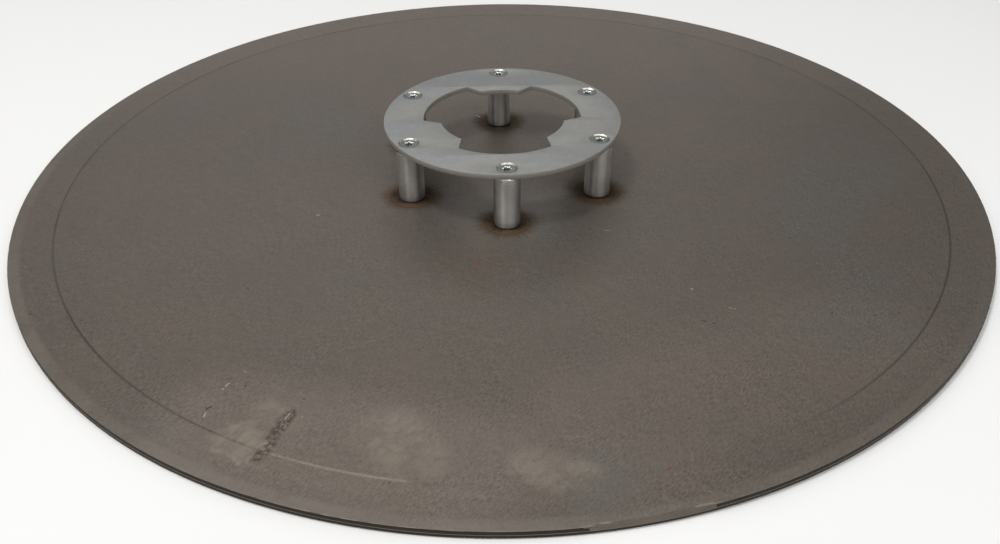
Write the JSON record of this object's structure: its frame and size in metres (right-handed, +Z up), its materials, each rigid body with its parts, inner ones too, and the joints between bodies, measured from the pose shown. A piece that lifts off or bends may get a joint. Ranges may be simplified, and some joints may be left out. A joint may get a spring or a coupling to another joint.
{
  "type": "floor trowelling disc",
  "caption": "Round steel sheet disc with a shallow upturned rim and a raised bayonet ring on welded stand-off bosses, held by countersunk screws.",
  "frame": {"origin": "centre of the flat underside of the disc", "axes": "+Z up along the disc's axis, out of the bayonet ring's top face; +Y points through one lug of the bayonet ring"},
  "size_m": [0.6, 0.6, 0.0405],
  "materials": {
    "sheet_steel": "dark mill scale with a grey-brown cast, satin, scuffed",
    "zinc_plate": "matt zinc plating, laser-cut edges",
    "turned_steel": "turned bright steel with fine rings, scorched at the foot",
    "weld": "scorched weld metal",
    "screw_zinc": "bright zinc plating"
  },
  "bodies": {
    "root": {"trowel_disc": "sheet_steel", "bayonet_ring": "zinc_plate", "boss_1": "turned_steel", "boss_2": "turned_steel", "boss_3": "turned_steel", "boss_4": "turned_steel", "boss_5": "turned_steel", "boss_6": "turned_steel", "boss_weld_1": "weld", "boss_weld_2": "weld", "boss_weld_3": "weld", "boss_weld_4": "weld", "boss_weld_5": "weld", "boss_weld_6": "weld", "screw_1": "screw_zinc", "screw_2": "screw_zinc", "screw_3": "screw_zinc", "screw_4": "screw_zinc", "screw_5": "screw_zinc", "screw_6": "screw_zinc"}
  },
  "joints": []
}
